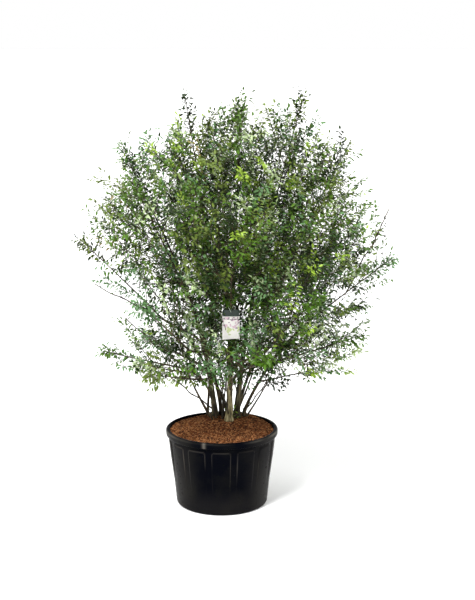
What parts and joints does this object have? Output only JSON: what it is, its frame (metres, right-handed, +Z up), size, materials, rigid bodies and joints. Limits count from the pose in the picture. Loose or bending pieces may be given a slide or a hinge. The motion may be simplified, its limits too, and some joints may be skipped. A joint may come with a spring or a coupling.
{
  "type": "potted serviceberry",
  "caption": "Multi-stem serviceberry shrub with an open, leafy vase-shaped crown, planted in a round black nursery pot with bark mulch and a hanging label.",
  "frame": {"origin": "centre of the pot's flat underside", "axes": "+Z up, +X to the right seen from the front, -Y towards the front"},
  "size_m": [2.0795, 1.8677, 2.5771],
  "materials": {
    "pot_plastic": "black moulded nursery-pot plastic, satin on the rolled rim",
    "bark_mulch": "fine orange-brown bark chips over soil",
    "stem_bark": "smooth grey-brown bark with fine lengthwise streaks and lenticels",
    "bough_bark": "thin smooth reddish-brown to grey bark",
    "foliage": "small oval leaves, mid to grey green with fresh green tips, matt with a soft sheen",
    "label_plastic": "printed plastic hang tag with a dark green head and a pale card",
    "tie_plastic": "pale green flexible plastic loop"
  },
  "bodies": {
    "root": {"pot": "pot_plastic", "mulch": "bark_mulch", "stem_main": "stem_bark", "stem_left": "stem_bark", "stem_left_twin": "stem_bark", "stem_slender": "stem_bark", "stem_right": "stem_bark", "stem_right_low": "stem_bark", "stem_back": "stem_bark", "stem_back_left": "stem_bark", "stem_back_right": "stem_bark", "shoot_left": "stem_bark", "bough_upper_front": "bough_bark", "bough_upper_front_right": "bough_bark", "bough_upper_right": "bough_bark", "bough_mid_left": "bough_bark", "bough_mid_front_left": "bough_bark", "bough_mid_front_right": "bough_bark", "bough_mid_back": "bough_bark", "bough_low_left": "bough_bark", "bough_low_front_left": "bough_bark", "bough_low_front": "bough_bark", "bough_low_right": "bough_bark", "bough_low_back_right": "bough_bark", "bough_low_back": "bough_bark", "bough_low_back_left": "bough_bark", "foliage_top_left": "foliage", "foliage_top_mid": "foliage", "foliage_top_right": "foliage", "foliage_upper_left": "foliage", "foliage_upper_front_left": "foliage", "foliage_upper_front": "foliage", "foliage_upper_front_right": "foliage", "foliage_upper_right": "foliage", "foliage_upper_back": "foliage", "foliage_mid_left": "foliage", "foliage_mid_front_left": "foliage", "foliage_mid_front_right": "foliage", "foliage_mid_right": "foliage", "foliage_mid_back_right": "foliage", "foliage_mid_back": "foliage", "foliage_mid_back_left": "foliage", "foliage_low_left": "foliage", "foliage_low_front_left": "foliage", "foliage_low_front": "foliage", "foliage_low_right": "foliage", "foliage_low_back_right": "foliage", "foliage_low_back": "foliage", "foliage_low_back_left": "foliage", "foliage_skirt_left": "foliage", "foliage_skirt_right": "foliage", "foliage_skirt_back": "foliage", "foliage_core_left": "foliage", "foliage_core_front": "foliage", "foliage_core_right": "foliage", "foliage_inner_left": "foliage", "foliage_inner_front": "foliage", "foliage_inner_back": "foliage", "label_tag": "label_plastic", "label_tie": "tie_plastic"}
  },
  "joints": []
}
